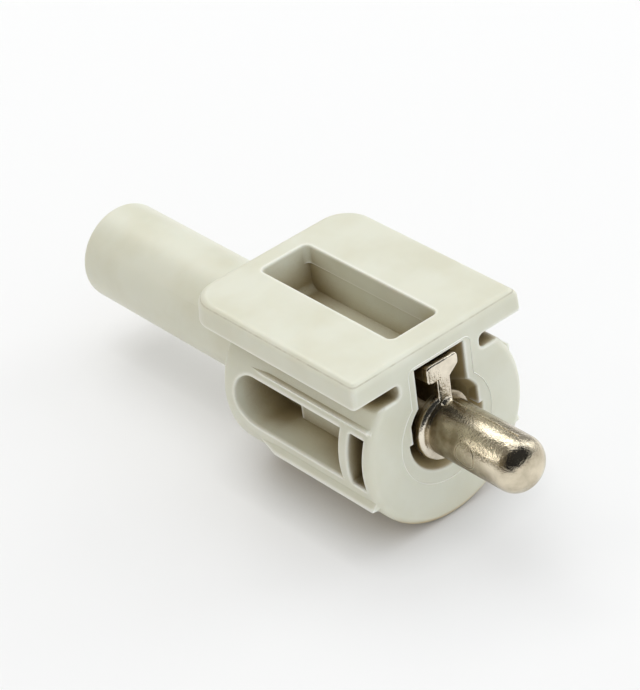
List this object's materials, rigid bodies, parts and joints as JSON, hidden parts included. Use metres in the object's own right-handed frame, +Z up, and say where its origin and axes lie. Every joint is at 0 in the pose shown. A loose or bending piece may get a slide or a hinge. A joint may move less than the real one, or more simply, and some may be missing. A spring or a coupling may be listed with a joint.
{
  "type": "shelf support pin",
  "caption": "Spring-loaded shelf support: a moulded barrel and stem with a cover plate, and a retractable metal pin with a release tab in a slot.",
  "frame": {"origin": "on the axis of the barrel, in the plane of the front face that the pin comes out of", "axes": "+Y along the barrel and the stem to the rear, so the pin points along -Y; +Z up to the cover plate"},
  "size_m": [0.0186, 0.0542, 0.018],
  "materials": {
    "housing": "satin",
    "plunger": "satin",
    "spring": "satin"
  },
  "bodies": {
    "housing": {"housing": "housing", "spring": "spring"},
    "plunger": {"plunger": "plunger"}
  },
  "joints": [
    {"name": "pin_slide", "type": "slide", "parent": "housing", "child": "plunger", "axis": [0, 1, 0], "range_m": [0, 0.0104], "stiffness_N_per_m": 600, "springref_m": -0.0033, "deforming": ["spring"]}
  ]
}
